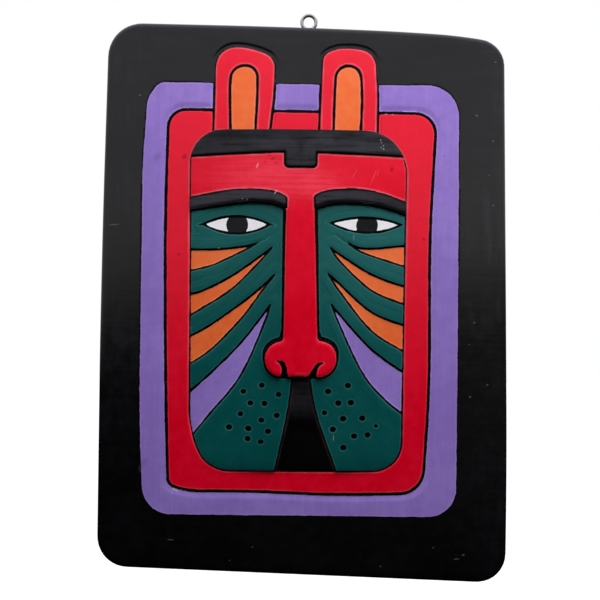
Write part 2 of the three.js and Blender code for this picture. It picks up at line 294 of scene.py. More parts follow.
def through(points, steps=8):
    """A smooth open line through points."""
    p = np.array(points, float)
    p = np.vstack([2 * p[0] - p[1], p, 2 * p[-1] - p[-2]])
    line = []
    for a, b, c, d in zip(p[:-3], p[1:-2], p[2:-1], p[3:]):
        slope = c - a
        bend = 2 * a - 5 * b + 4 * c - d
        twist = 3 * b - a - 3 * c + d
        for t in np.linspace(0, 1, steps, endpoint=False):
            line.append(0.5 * (2 * b + slope * t + bend * t * t + twist * t**3))
    line.append(p[-2])
    return np.array(line)


def wedge_line(upper, lower, tail):
    """A closed line along a wedge's upper edge to its tail and back along its lower edge."""
    top = through(list(upper) + [tail])
    bottom = through(list(lower) + [tail])
    return np.vstack([top, bottom[::-1][1:]])


def almond_line(eye, steps=24):
    """Two lids, each a bow between the eye's tips."""
    inner, outer = np.array(eye["inner"]), np.array(eye["outer"])
    t = np.linspace(0, 1, steps + 1)[:, None]
    level = (inner[1] + outer[1]) / 2
    lids = []
    for lid, (start, end) in (("upper", (inner, outer)), ("lower", (outer, inner))):
        handle = np.array([(inner[0] + outer[0]) / 2, 2 * eye[lid] - level])
        lids.append((1 - t) ** 2 * start + 2 * t * (1 - t) * handle + t**2 * end)
    return np.vstack([lids[0], lids[1][1:-1]])


def nearest(points, line, closed=True):
    """How far each point is from a line, and the nearest place on it."""
    starts = line if closed else line[:-1]
    ends = np.roll(line, -1, axis=0) if closed else line[1:]
    best = np.full(len(points), np.inf)
    place = np.zeros_like(points)
    for start, end in zip(starts, ends):
        side = end - start
        length = side @ side
        if length < 1e-12:
            continue
        t = np.clip((points - start) @ side / length, 0, 1)
        foot = start + t[:, None] * side
        gap = ((points - foot) ** 2).sum(axis=1)
        closer = gap < best
        best[closer] = gap[closer]
        place[closer] = foot[closer]
    return np.sqrt(best), place


def inside(points, line):
    """Which points a closed line surrounds."""
    x, z = points.T
    odd = np.zeros(len(points), bool)
    for (x0, z0), (x1, z1) in zip(line, np.roll(line, -1, axis=0)):
        spans = (z0 > z) != (z1 > z)
        if z0 != z1:
            odd ^= spans & (x < x0 + (z - z0) * (x1 - x0) / (z1 - z0))
    return odd


def signed(points, line, reach=UNPAINTED):
    """The distance to a closed line, below zero inside it. Points beyond its reach get the reach."""
    low, high = line.min(axis=0) - reach, line.max(axis=0) + reach
    near = ((points > low) & (points < high)).all(axis=1)
    distance = np.full(len(points), float(reach))
    some = points[near]
    gap, _ = nearest(some, line)
    distance[near] = np.where(inside(some, line), -gap, gap)
    return distance


def stroke(points, line, half_width, reach=12.0):
    """The distance to the edge of a brush stroke that thins towards its end."""
    low, high = line.min(axis=0) - reach, line.max(axis=0) + reach
    near = ((points > low) & (points < high)).all(axis=1)
    distance = np.full(len(points), reach)
    gap, place = nearest(points[near], line, closed=False)
    along = np.linalg.norm(place - line[0], axis=1) / np.linalg.norm(line[-1] - line[0])
    distance[near] = gap - half_width * (1 - 0.8 * along)
    return distance


def smooth(x, low, high):
    """Zero below low, one above high, and an easy rise between them."""
    t = np.clip((x - low) / (high - low), 0, 1)
    return t * t * (3 - 2 * t)


def line_at(distance, middle, half_width):
    """One along a line a set distance outside an outline, fading to either side."""
    return np.exp(-(((distance - middle) / half_width) ** 2))


def patch(points, middle, half_size):
    """One at the middle of an oval area, fading outwards."""
    x, z = ((points - middle) / half_size).T
    return np.exp(-(x**2 + z**2))


LINES = {
    "board": rounded(BOARD, 14),
    "lilac": rounded(LILAC_FRAME, 12),
    "red": rounded(RED_SURROUND, 10),
    "face": rounded(FACE, 12),
    "hair": rounded(HAIR, 4),
    "nose": rounded(FOREHEAD_AND_NOSE, 8),
    "left brow": rounded(LEFT_BROW, 6),
    "right brow": rounded(RIGHT_BROW, 6),
    "philtrum": rounded(PHILTRUM, 8),
    "left nostril": rounded(LEFT_NOSTRIL, 4),
    "right nostril": rounded(RIGHT_NOSTRIL, 4),
    "left ear": rounded(LEFT_EAR, 10),
    "right ear": rounded(RIGHT_EAR, 10),
    "left inner ear": rounded(LEFT_INNER_EAR, 8),
    "right inner ear": rounded(RIGHT_INNER_EAR, 8),
    "left eye": almond_line(EYES[0]),
    "right eye": almond_line(EYES[1]),
}
for wedge_name, wedge_edges in WEDGES.items():
    LINES[wedge_name] = wedge_line(*wedge_edges)
BROW_FEET = (through(LEFT_BROW_FOOT), through(RIGHT_BROW_FOOT))


def gap_to(points, *names):
    """The signed distance to the nearest of several outlines."""
    return np.minimum.reduce([signed(points, LINES[name]) for name in names])


# ---- Blanks ----

def where(bm):
    """The places of a blank's points, as rows of x and z."""
    return np.array([v.co[:2] for v in bm.verts])


def blank(low, high, cell):
    """A flat grid of square cells over a rectangle."""
    bm = bmesh.new()
    size = np.array(high) - np.array(low)
    across, up = (int(round(s / cell)) for s in size)
    bmesh.ops.create_grid(bm, x_segments=across, y_segments=up, size=0.5)
    bmesh.ops.scale(bm, vec=(size[0], size[1], 1), verts=bm.verts)
    middle = (np.array(low) + np.array(high)) / 2
    bmesh.ops.translate(bm, vec=(middle[0], middle[1], 0), verts=bm.verts)
    return bm


def refine(bm, names, reaches):
    """Halves the cells near the named outlines, once for each reach."""
    for reach in reaches:
        points = where(bm)
        near = np.full(len(points), np.inf)
        for name in names:
            near = np.minimum(near, np.abs(signed(points, LINES[name], reach + 1)))
        bm.verts.index_update()
        close = [f for f in bm.faces if min(near[v.index] for v in f.verts) < reach]
        edges = {e for f in close for e in f.edges}
        bmesh.ops.subdivide_edges(bm, edges=list(edges), cuts=1, use_grid_fill=True)


def trim(bm, line, inset):
    """Drops the cells outside a line and draws the new rim onto it, a little inside if inset."""
    points = where(bm)
    distance = signed(points, line, BEYOND_BOARD) + inset
    bm.verts.index_update()
    outer = [f for f in bm.faces if np.mean([distance[v.index] for v in f.verts]) > 0]
    bmesh.ops.delete(bm, geom=outer, context="FACES")
    rim = [v for v in bm.verts if v.is_boundary]
    at = np.array([v.co[:2] for v in rim])
    _, place = nearest(at, line)
    inward = np.where(inside(at, line)[:, None], at - place, place - at)
    inward /= np.maximum(np.linalg.norm(inward, axis=1), 1e-9)[:, None]
    for vert, target in zip(rim, place + inward * inset):
        vert.co.x, vert.co.y = target


def snap(bm, names, reach):
    """Moves the points close to an outline onto it, so that carved edges are clean."""
    points = where(bm)
    free = np.array([not v.is_boundary for v in bm.verts])
    shortest = np.array([min((e.calc_length() for e in v.link_edges), default=0) for v in bm.verts])
    for name in names:
        line = LINES[name]
        distance = np.abs(signed(points, line, 3.0))
        chosen = np.flatnonzero(free & (distance < reach * shortest))
        if len(chosen):
            _, place = nearest(points[chosen], line)
            points[chosen] = place
            free[chosen] = False
    for vert, (x, z) in zip(bm.verts, points):
        vert.co.x, vert.co.y = x, z


def split_crowded(bm):
    """Turns the many-cornered cells that refining leaves into triangles."""
    crowded = [f for f in bm.faces if len(f.verts) > 4]
    bmesh.ops.triangulate(bm, faces=crowded)


def set_heights(bm, heights):
    """Raises each point of a flat blank to its carved height."""
    for vert, height in zip(bm.verts, heights):
        vert.co.z = height


def wall(bm, line, profile):
    """Extrudes the rim step by step and closes it. Each step is (outward from the rim, height)."""
    rim = [e for e in bm.edges if e.is_boundary]
    order = list({v for e in rim for v in e.verts})
    at = np.array([v.co[:2] for v in order])
    _, place = nearest(at, line)
    outward = place - at
    outward /= np.maximum(np.linalg.norm(outward, axis=1), 1e-9)[:, None]
    home = {v: (p, n) for v, p, n in zip(order, at, outward)}
    for out, height in profile:
        made = bmesh.ops.extrude_edge_only(bm, edges=rim)["geom"]
        rim = [g for g in made if isinstance(g, bmesh.types.BMEdge) and g.is_boundary]
        fresh = {v for e in rim for v in e.verts}
        moved = {}
        for vert in fresh:
            old = next(o for e in vert.link_edges for o in e.verts if o is not vert and o in home)
            moved[vert] = home[old]
        for vert, (p, n) in moved.items():
            vert.co = (p[0] + n[0] * out, p[1] + n[1] * out, height)
        home = moved
    bmesh.ops.contextual_create(bm, geom=rim)


def points_and_heights(bm):
    """Every point's x and z, and its height."""
    at = np.array([v.co[:] for v in bm.verts])
    return at[:, :2], at[:, 2]


def added(name, data):
    """A new object in the scene."""
    made = bpy.data.objects.new(name, data)
    bpy.context.scene.collection.objects.link(made)
    return made


def finish_piece(bm, name, fields):
    """Turns a blank into an object in the shared frame, with its painted distances as attributes."""
    bmesh.ops.recalc_face_normals(bm, faces=bm.faces)
    bmesh.ops.rotate(bm, matrix=Matrix.Rotation(math.radians(90), 3, "X"), verts=bm.verts)
    bmesh.ops.translate(bm, vec=(-EYE_ACROSS, -HALF_THICKNESS, -EYE_ABOVE_MIDDLE), verts=bm.verts)
    bmesh.ops.scale(bm, vec=(MM, MM, MM), verts=bm.verts)
    mesh = bpy.data.meshes.new(name)
    bm.to_mesh(mesh)
    bm.free()
    for field, values in fields.items():
        layer = mesh.attributes.new(field, "FLOAT", "POINT")
        layer.data.foreach_set("value", np.ascontiguousarray(values, np.float32))
    mesh.shade_smooth()
    mesh.set_sharp_from_angle(angle=SHARP_ANGLE)
    piece = added(name, mesh)
    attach(piece, "root")
    return piece


# ---- Relief ----

def ripple(points, span, seed):
    """A slow, shallow unevenness of the carved surface, between -1 and 1."""
    x, z = points.T / span
    return (
        np.sin(x * 1.7 + seed) * np.cos(z * 1.3 + seed * 2.1)
        + np.sin(x * 0.9 - z * 1.9 + seed * 0.7)
        + np.cos(x * 2.3 + z * 0.8 - seed)
    ) / 3


def gouge(distance):
    """A slope down to an outline from outside."""
    return -GOUGE_DEPTH * (1 - np.clip(distance / GOUGE_WIDTH, 0, 1))


def stands(distance, height, foot):
    """A shape that stands up inside its outline, with a small bevel."""
    return foot + (height - foot) * smooth(-distance, -0.1, STAND_BEVEL)


def board_height(points):
    """A flat board with gouged lines round its red surround and its raised ears."""
    red = gap_to(points, "red")
    ears = gap_to(points, "left ear", "right ear")
    inner = gap_to(points, "left inner ear", "right inner ear")
    face = gap_to(points, "face")
    height = BOARD_UNEVENNESS * ripple(points, BOARD_SWELLS, 1.0)
    height += np.where(red > 0, gouge(red), stands(red, SURROUND_HEIGHT, -GOUGE_DEPTH))
    moat = -EAR_MOAT_DEPTH * (1 - smooth(ears, EAR_MOAT_FLOOR, EAR_MOAT_WIDTH))
    height = np.where(ears > 0, np.minimum(height, moat), stands(ears, EAR_HEIGHT, -EAR_MOAT_DEPTH))
    height -= INNER_EAR_DEPTH * smooth(-inner, -1.2, -0.2)
    return height - CREVICE_DEPTH * (1 - smooth(face, 0.1, CREVICE_WIDTH))


def face_dome(points, height, radius):
    """A surface curved from side to side and rolled over at the face's top and bottom."""
    x, z = points.T
    rolled = np.clip((np.abs(z) - (FACE_HALF_LENGTH - ROLL_LENGTH)) / ROLL_LENGTH, 0, 1)
    roll = ROLL_DEPTH * (1 - np.sqrt(np.maximum(0, 1 - rolled**2)))
    return height - (x - FACE_MIDDLE_X) ** 2 / (2 * radius) - roll


def cheek_height(points):
    """The cheeks and muzzle, with their wedges, eyes and dots cut in."""
    x, z = points.T
    wedges = gap_to(points, *WEDGES)
    philtrum = gap_to(points, "philtrum")
    eyes = gap_to(points, "left eye", "right eye")
    low = face_dome(points, CHEEK_HEIGHT, CHEEK_DOME_RADIUS)
    ridge = np.clip(wedges, 0, RIDGE_WIDTH) / RIDGE_WIDTH
    low += RIDGE_SWELL * np.sin(np.pi * ridge) * (wedges > 0)
    low -= WEDGE_DEPTH * smooth(-wedges, -0.6, 0.9)
    low -= WEDGE_EDGE_DEPTH * (1 - smooth(np.abs(wedges - 0.2), 0, 1.1))
    low -= PHILTRUM_DEPTH * smooth(-philtrum, -0.4, 1.0)
    low -= EYE_DEPTH * smooth(-eyes, -1.0, 0.1)
    for line, half_width in CUT_TAILS:
        low -= BRUSH_TAIL_DEPTH * smooth(-stroke(points, through(line), half_width), -1.2, 0.3)
    for dot_x, dot_z, radius in WHISKER_DOTS:
        low -= DOT_DEPTH * np.exp(-((x - dot_x) ** 2 + (z - dot_z) ** 2) / radius**2)
    return low


def face_height(points):
    """The cheeks, with the forehead, nose, brows and hair band standing over them."""
    nose = gap_to(points, "nose")
    brows = gap_to(points, "left brow", "right brow")
    hair = gap_to(points, "hair")
    nostrils = gap_to(points, "left nostril", "right nostril")
    face = gap_to(points, "face")
    low = cheek_height(points)
    forehead = face_dome(points, FOREHEAD_HEIGHT, FOREHEAD_DOME_RADIUS)

    # The forehead and nose stand over the cheeks, and their edges are eased.
    high = forehead - NOSE_EDGE_DROP * (1 - smooth(-nose, 0, NOSE_EDGE_WIDTH))
    high -= NOSTRIL_DEPTH * smooth(-nostrils, -0.2, 0.9)
    surface = low + (high - low) * smooth(-nose, -1.0, 0.15)

    # A brow has a flat top and, above a short upright step, a chamfer along its lower edge.
    brow_top = forehead + BROW_STEP * smooth(-brows, -0.1, 0.6)
    from_left, from_right = (nearest(points, foot, closed=False)[0] for foot in BROW_FEET)
    from_foot = np.where(points[:, 0] < FACE_MIDDLE_X, from_left, from_right)
    slope = np.clip(from_foot / BROW_CHAMFER, 0, 1)
    chamfer = BROW_UPRIGHT_SHARE * (from_foot > 0.05) + (1 - BROW_UPRIGHT_SHARE) * slope
    brow = np.where(from_foot < BROW_CHAMFER, low + (brow_top - low) * chamfer, brow_top)
    surface = np.where(brows < 0, brow, surface)

    # The hair band stands a little higher, and the face's rim is eased all round.
    surface += HAIR_STEP * smooth(-hair, -0.1, STAND_BEVEL)
    surface -= HAIR_EDGE_DROP * (1 - smooth(-hair, 0.2, HAIR_EDGE_WIDTH)) * (hair < 0)
    surface -= FACE_RIM_DROP * (1 - smooth(-face, 0, FACE_RIM_WIDTH))
    return surface + FACE_UNEVENNESS * ripple(points, FACE_SWELLS, 4.0)


# ---- Painted areas ----
# Each piece carries these values at its points:
#   the gaps, one for each paint: the distance to that colour's edge, below zero inside it
#   strokes: a value that stays the same along a brush stroke
#   painted_sheen and painted_upper_sheen: how much painted sheen lies on the black and red, and how much
#       paler the colours are painted towards the top, as painted light
#   front: 1 where marks in the paint may show, 0 on edges and backs
#   lines: below zero where black is only a line between colours
#   edge_wear_and_highlight: how worn the paint is along an edge, with painted highlights along edges

PAINTS = ("lilac_gap", "red_gap", "orange_gap", "green_gap", "white_gap", "iris_gap")


def board_paint(points, height):
    """The lilac frame, the red surround with its black line, and the two ears."""
    x, z = points.T
    lilac = gap_to(points, "lilac")
    red = gap_to(points, "red")
    ears = gap_to(points, "left ear", "right ear")
    inner = gap_to(points, "left inner ear", "right inner ear")
    face = gap_to(points, "face")
    away = np.where(height < PAINTED_ABOVE, UNPAINTED, 0)
    none = np.full(len(points), UNPAINTED)
    ring = -(ears - EAR_LINE)
    # Painted shade: black beside the face panel, in the crevice where it meets the board.
    crevice_shade_beside_face = -(face - 0.5)
    red_ear = np.maximum(ears + EAR_LINE, -(inner - INNER_EAR_LINE))
    surround = np.maximum.reduce([red + SURROUND_LINE, ring, crevice_shade_beside_face])
    # A painted sheen on the black, stronger towards the top and the right.
    painted_black_sheen = 0.05 * smooth(z, -150, 60) + 0.03 * smooth(x, 100, 140)
    # Pale lines along edges are painted highlights, stronger towards the top beside the face, and partly
    # worn paint.
    beside_face_highlight = line_at(face, 1.0, 0.42) * (0.1 + 0.6 * smooth(z, -60, 70))
    inner_ear_wear_and_highlight = 0.4 * line_at(inner, 2.7, 0.4) + 0.3 * line_at(inner, -0.6, 0.4)
    return {
        "lilac_gap": np.maximum.reduce([lilac, -red, ring]) + away,
        "red_gap": np.minimum(surround, np.maximum(red_ear, crevice_shade_beside_face)) + away,
        "orange_gap": np.maximum(inner, crevice_shade_beside_face) + away,
        "green_gap": none,
        "white_gap": none,
        "iris_gap": none,
        "strokes": z,
        "painted_sheen": np.where(red < 1, 0, painted_black_sheen),
        "painted_upper_sheen": 0.65 * smooth(z, -120, 120),
        "front": np.where(height > PAINTED_ABOVE, 1, 0),
        "lines": np.minimum(lilac - 0.3, ears + 0.1),
        "edge_wear_and_highlight": np.maximum(beside_face_highlight, 0.45 * line_at(ears, -1.5, 0.4) + inner_ear_wear_and_highlight),
    }


def whisker_gap(points):
    """The distance to the nearest whisker dot, each a little wider than it is tall."""
    x, z = points.T
    gap = np.full(len(points), UNPAINTED)
    for dot_x, dot_z, radius in WHISKER_DOTS:
        gap = np.minimum(gap, np.hypot((x - dot_x) / 1.08, (z - dot_z) * 1.04) - radius + 0.2)
    return gap


def face_paint(points, wall_part):
    """Green cheeks, a red forehead and nose, orange and lilac wedges, and white eyes."""
    x, z = points.T
    nose = gap_to(points, "nose")
    brows = gap_to(points, "left brow", "right brow")
    hair = gap_to(points, "hair")
    philtrum = gap_to(points, "philtrum")
    nostrils = gap_to(points, "left nostril", "right nostril")
    eyes = gap_to(points, "left eye", "right eye")
    orange_wedges = gap_to(points, *(name for name in WEDGES if name not in LILAC_WEDGES))
    lilac_wedges = gap_to(points, *LILAC_WEDGES)
    wedges = np.minimum(orange_wedges, lilac_wedges)
    face = gap_to(points, "face")
    # The black just inside the face panel's edge is painted shade for its crevice.
    inside_face = face + FACE_CREVICE_SHADE
    away = np.where(wall_part, UNPAINTED, 0)
    tails = np.minimum.reduce([stroke(points, through(line), width) for line, width in BRUSH_TAILS])
    irises = np.minimum.reduce([np.hypot(*(points - eye["iris"]).T) - IRIS_RADIUS for eye in EYES])

    # The black beside the nose widens upwards and over its wings.
    beside_nose = 1.5 + 0.8 * smooth(z, -20, 70)
    over_wings = 1.4 * smooth(z, -46, -30) * (1 - smooth(z, -26, -20)) + 0.2
    green = np.maximum.reduce([
        face + CHEEK_CREVICE_SHADE, -(nose - beside_nose - over_wings), -(brows - 0.1), -(wedges - WEDGE_LINE),
        -(eyes - 0.8), -(philtrum - 0.6), -whisker_gap(points), -tails,
    ])
    red = np.maximum.reduce([nose + 0.1, -(brows - 0.2), -(hair - 0.3), -nostrils, inside_face])
    # Painted light on the cheeks: paler towards the top and the right.
    cheek_painted_light = (0.15 + 0.85 * smooth(z, -75, 50)) * (0.6 + 0.4 * smooth(x, -30, 50))
    return {
        "lilac_gap": np.maximum(lilac_wedges + WEDGE_LINE, inside_face) + away,
        "red_gap": red + away,
        "orange_gap": np.maximum(orange_wedges + WEDGE_LINE, inside_face) + away,
        "green_gap": green + away,
        "white_gap": np.maximum(eyes + EYE_LINE, -(irises - 0.1)) + away,
        "iris_gap": np.maximum(eyes + EYE_LINE + 0.2, irises + 0.3) + away,
        "strokes": np.where(nose < 0, z, np.minimum(wedges, eyes + 4)),
        "painted_sheen": np.where(wall_part, 0, face_painted_sheen(points, hair, brows, nose, philtrum)),
        "painted_upper_sheen": np.where(nose < 0, 0.4 * smooth(z, 60, 110), cheek_painted_light),
        "front": np.where(wall_part, 0, 1),
        "lines": np.where(wall_part, 1, -1),
        "edge_wear_and_highlight": np.where(wall_part, 0, face_edge_wear_and_highlights(hair, brows, nose, philtrum)),
    }


def face_edge_wear_and_highlights(hair, brows, nose, philtrum):
    """Where worn paint and painted highlights show pale along an edge."""
    under_hair = 0.55 * line_at(hair, 0.9, 0.4) * (hair > 0)
    over_brows = 0.50 * line_at(brows, 0.7, 0.4) * (brows > 0)
    beside_philtrum = 0.10 * line_at(philtrum, -1.0, 0.45)
    return np.where(nose < 0, np.maximum(under_hair, over_brows), beside_philtrum)


def face_painted_sheen(points, hair, brows, nose, philtrum):
    """How strongly a painted sheen lies on the forehead, the hair band, the brows and the philtrum."""
    x, z = points.T
    forehead = patch(points, (-30, 90), (34, 14)) + 0.9 * patch(points, (4, 84), (20, 9))
    painted_sheen = 0.9 * np.clip(forehead, 0, 1) * (hair > 0.5) * (brows > 0.3) * (nose < 0)
    fading_upwards = 1 - 0.5 * smooth(-hair, 7, 14)
    band = 0.9 * smooth(-hair, 0.7, 2.6) * fading_upwards * (0.75 + 0.25 * smooth(x, -60, 60))
    painted_sheen = np.where(hair < 0, band, painted_sheen)
    fading_rightwards = 1.35 - 0.45 * smooth(x, -10, 10) - 0.3 * smooth(x, 40, 65)
    painted_sheen = np.where(brows < 0, smooth(-brows, 0.9, 1.8) * fading_rightwards, painted_sheen)
    return np.where(philtrum < -1.2, 0.30 * smooth(z, -88, -72), painted_sheen)


# ---- The pieces ----

BOARD_CUTS = ["red", "left ear", "right ear", "left inner ear", "right inner ear", "face"]
FACE_CUTS = [
    "nose", "left brow", "right brow", "hair", "left eye", "right eye", "philtrum", "left nostril",
    "right nostril", *WEDGES,
]


def carved_board():
    """The board with its rounded edge and flat back, finest along what is carved on it."""
    bm = blank(*BOARD_BLANK, BOARD_CELL)
    refine(bm, BOARD_CUTS + ["lilac"], REFINED_WITHIN)
    trim(bm, LINES["board"], EDGE_ROUNDING)
    snap(bm, BOARD_CUTS, BOARD_SNAP)
    split_crowded(bm)
    set_heights(bm, board_height(where(bm)))
    turns = [math.radians(angle) for angle in (18, 36, 54, 72, 90)]
    front = [(EDGE_ROUNDING * math.sin(turn), EDGE_ROUNDING * (math.cos(turn) - 1)) for turn in turns]
    back = [(out, BACK_HEIGHT - height) for out, height in reversed(front[:-1])]
    foot = [(EDGE_ROUNDING, BACK_HEIGHT + EDGE_ROUNDING)]
    wall(bm, LINES["board"], front + foot + back + [(0, BACK_HEIGHT)])
    return finish_piece(bm, "carved_board_painted", board_paint(*points_and_heights(bm)))


def face_panel():
    """The thick carved face, whose foot is sunk into the board."""
    bm = blank(*FACE_BLANK, FACE_CELL)
    trim(bm, LINES["face"], 0)
    snap(bm, FACE_CUTS, FACE_SNAP)
    set_heights(bm, face_height(where(bm)))
    carved_points = len(bm.verts)
    wall(bm, LINES["face"], [(0, FACE_FOOT)])
    points, _ = points_and_heights(bm)
    wall_part = np.arange(len(points)) >= carved_points
    return finish_piece(bm, "animal_face_panel", face_paint(points, wall_part))


# A point this far from every colour is bare black, and a face this near to a colour shows some of it.
BARE_FROM = 0.25
COLOUR_WITHIN = 0.6


def read_field(mesh, name):
    """One of a piece's values, for all its points."""
    values = np.empty(len(mesh.vertices), np.float32)
    mesh.attributes[name].data.foreach_get("value", values)
    return values


def choose_finish(piece):
    """Gives coloured faces the duller finish, and the black lines between colours the dullest."""
    mesh = piece.data
    bare = np.minimum.reduce([read_field(mesh, field) for field in PAINTS])
    black_line = (bare > BARE_FROM) & (read_field(mesh, "lines") < 0)
    for face in mesh.polygons:
        corners = list(face.vertices)
        if black_line[corners].any():
            face.material_index = 2
        elif (bare[corners] < COLOUR_WITHIN).any():
            face.material_index = 1


# ---- Materials ----

class Wiring:
    """Adds nodes to a tree, one at a time."""

    def __init__(self, tree):
        self.tree = tree

    def feed(self, socket, value):
        if isinstance(value, bpy.types.NodeSocket):
            self.tree.links.new(value, socket)
        else:
            socket.default_value = value

    def node(self, kind, inputs=None, **settings):
        made = self.tree.nodes.new(kind)
        for key, value in settings.items():
            setattr(made, key, value)
        for key, value in (inputs or {}).items():
            self.feed(made.inputs[key], value)
        return made

    def math(self, operation, a, b=0.0, clamp=False):
        return self.node("ShaderNodeMath", {0: a, 1: b}, operation=operation, use_clamp=clamp).outputs[0]

    def ramp(self, value, low, high, bottom=0.0, top=1.0):
        return self.node(
            "ShaderNodeMapRange",
            {"Value": value, "From Min": low, "From Max": high, "To Min": bottom, "To Max": top},
            interpolation_type="SMOOTHSTEP",
        ).outputs[0]

    def mix(self, share, a, b):
        made = self.node("ShaderNodeMix", {"Factor": share}, data_type="RGBA")
        for socket, tone in (("A", a), ("B", b)):
            self.feed(made.inputs[socket], tone if isinstance(tone, bpy.types.NodeSocket) else (*tone, 1.0))
        return made.outputs["Result"]


class Finish(Wiring):
    """A material whose patterns stay fixed to the piece."""

    def __init__(self, name):
        self.material = bpy.data.materials.new(name)
        self.material.use_nodes = True
        super().__init__(self.material.node_tree)
        self.shader = self.tree.nodes["Principled BSDF"]
        self.place = self.node("ShaderNodeTexCoord").outputs["Object"]

    def give(self, name, value):
        """Sets or feeds one of the shader's inputs."""
        self.feed(self.shader.inputs[name], value)

    def field(self, name):
        return self.node("ShaderNodeAttribute", attribute_name=name).outputs["Fac"]

    def noise(self, scale, detail=3.0, roughness=0.55, stretch=(1, 1, 1), at=None):
        mapped = self.node("ShaderNodeMapping", {"Vector": at or self.place, "Scale": stretch}).outputs[0]
        return self.node(
            "ShaderNodeTexNoise",
            {"Vector": mapped, "Scale": scale, "Detail": detail, "Roughness": roughness},
        ).outputs["Fac"]

    def spot(self, x, z, half_length, half_width, angle, soft):
        """One inside a small oval on the front, zero outside it."""
        oval = self.node(
            "ShaderNodeMapping",
            {
                "Vector": self.place,
                "Location": ((x - EYE_ACROSS) * MM, 0, (z - EYE_ABOVE_MIDDLE) * MM),
                "Rotation": (0, -math.radians(angle), 0),
                "Scale": (half_length * MM, 1, half_width * MM),
            },
            vector_type="TEXTURE",
        ).outputs[0]
        away = self.node("ShaderNodeVectorMath", {0: oval}, operation="LENGTH").outputs["Value"]
        return self.ramp(away, 1 + soft, 1 - soft)

    def spots(self, marks, soft):
        """Several ovals on the front as one mask. Each is (x, z, half length, half width, angle)."""
        mask = self.spot(*marks[0], soft)
        for mark in marks[1:]:
            mask = self.math("MAXIMUM", mask, self.spot(*mark, soft))
        return self.math("MULTIPLY", mask, self.field("front"))


# Linear colours of the paints, each with the paler tone it is brushed out to.
BLACK, GREYED_BLACK = (0.0010, 0.0010, 0.0012), (0.0030, 0.0030, 0.0036)
LILAC, PALE_LILAC = (0.270, 0.168, 0.545), (0.335, 0.222, 0.640)
RED, PALE_RED = (0.72, 0.0004, 0.016), (0.80, 0.004, 0.028)
ORANGE, PALE_ORANGE = (0.80, 0.118, 0.019), (0.86, 0.180, 0.053)
GREEN, PALE_GREEN = (0.0004, 0.064, 0.061), (0.004, 0.090, 0.086)
WHITE, PALE_WHITE = (0.84, 0.81, 0.85), (0.95, 0.93, 0.97)
IRIS, PALE_IRIS = (0.0050, 0.0054, 0.0060), (0.0120, 0.0125, 0.0135)

# Painted highlights: the paler tones along each colour's edge, where the brush leaves a ridge of paint.
LILAC_EDGE_HIGHLIGHT = (0.42, 0.30, 0.70)
RED_EDGE_HIGHLIGHT = (0.80, 0.055, 0.085)
ORANGE_EDGE_HIGHLIGHT = (0.88, 0.24, 0.09)
GREEN_EDGE_HIGHLIGHT = (0.035, 0.165, 0.150)

# The tones that the painted sheen and the painted light from above turn each colour towards, and what shows
# where it is marked, worn or painted with an edge highlight.
PINK_PAINTED_SHEEN = (0.90, 0.050, 0.088)
GREY_PAINTED_SHEEN = (0.042, 0.041, 0.050)
RED_PAINTED_UPPER_SHEEN = (0.86, 0.036, 0.066)
GREEN_PAINTED_UPPER_SHEEN = (0.022, 0.146, 0.142)
ORANGE_PAINTED_UPPER_SHEEN = (0.92, 0.205, 0.080)
BARE_GROUND = (0.62, 0.55, 0.56)
WORN_EDGE_AND_HIGHLIGHT = (0.70, 0.36, 0.42)
SMUDGE = (0.10, 0.07, 0.16)
DARK_RED = (0.20, 0.002, 0.010)
DULL_NICKEL, BRIGHT_NICKEL = (0.50, 0.49, 0.46), (0.66, 0.65, 0.62)

# On the board's sides, from here to here in metres, the black is brushed upright.
SIDES_START, SIDES_FULL = 0.108, 0.124

# Small marks in the paint: x, z, half length, half width and angle.
PALE_CHIPS = [
    (-34.7, 97.0, 1.9, 0.5, 70), (-21.4, 77.9, 1.8, 0.4, 55), (-41.8, 72.6, 0.7, 0.6, 0),
    (-45.0, 73.0, 0.5, 0.5, 0), (53.6, 116.6, 0.45, 0.45, 0), (54.2, 114.8, 0.4, 0.4, 0),
    (55.6, 112.6, 0.5, 0.45, 0), (53.9, 111.2, 0.4, 0.4, 0), (55.8, 110.2, 0.6, 0.5, 0),
    (57.8, 136.9, 1.3, 0.25, 5), (62.6, 136.7, 0.8, 0.25, 0),
    (22.4, -98.3, 2.0, 0.22, 88), (-62.4, 37.9, 0.8, 0.5, 0),
]
BRIGHT_CHIPS = [(-92.9, -137.9, 2.3, 0.5, -28), (-90.6, -138.9, 0.8, 0.4, -20)]
PALE_SPECKS = [
    (137.2, 175.7, 0.6, 0.5, 0), (123.9, 136.7, 0.75, 0.65, 0), (136.0, 118.4, 0.6, 0.5, 20),
    (136.8, 71.4, 0.6, 0.55, 0), (133.2, 93.2, 0.4, 0.4, 0), (-121.0, 148.6, 0.7, 0.5, 0),
    (35.2, 46.9, 0.5, 2.0, 0), (-100.0, -60.0, 0.4, 0.4, 0), (120.5, -30.0, 0.4, 0.4, 0),
    (-95, -174.5, 2.0, 0.35, -4), (-35.5, -179, 0.5, 0.4, 0), (96, -178, 0.6, 0.4, 0),
    (118, -183, 0.9, 0.6, 20), (113, -186, 1.8, 0.4, 5), (121.5, -68, 0.8, 0.6, 0),
    (124, -14, 0.7, 0.6, 0), (134, -59, 0.8, 0.5, 30), (-52, -189, 0.5, 0.4, 0), (58, -192, 0.6, 0.4, 0),
]
DARK_MARKS = [
    (-23.6, 102.1, 1.6, 0.7, 30), (-25.8, 104.0, 0.9, 0.5, 0), (-21.0, 99.0, 0.8, 0.6, 0),
    (-88.4, 104.2, 1.8, 1.4, 60), (-91.5, 33.2, 1.1, 0.8, 0), (86.4, 46.3, 0.9, 0.7, 0),
    (100.6, 107.0, 0.6, 0.6, 0), (-29.5, 99.6, 0.6, 0.5, 0), (62.0, 96.0, 1.8, 1.0, 80),
]
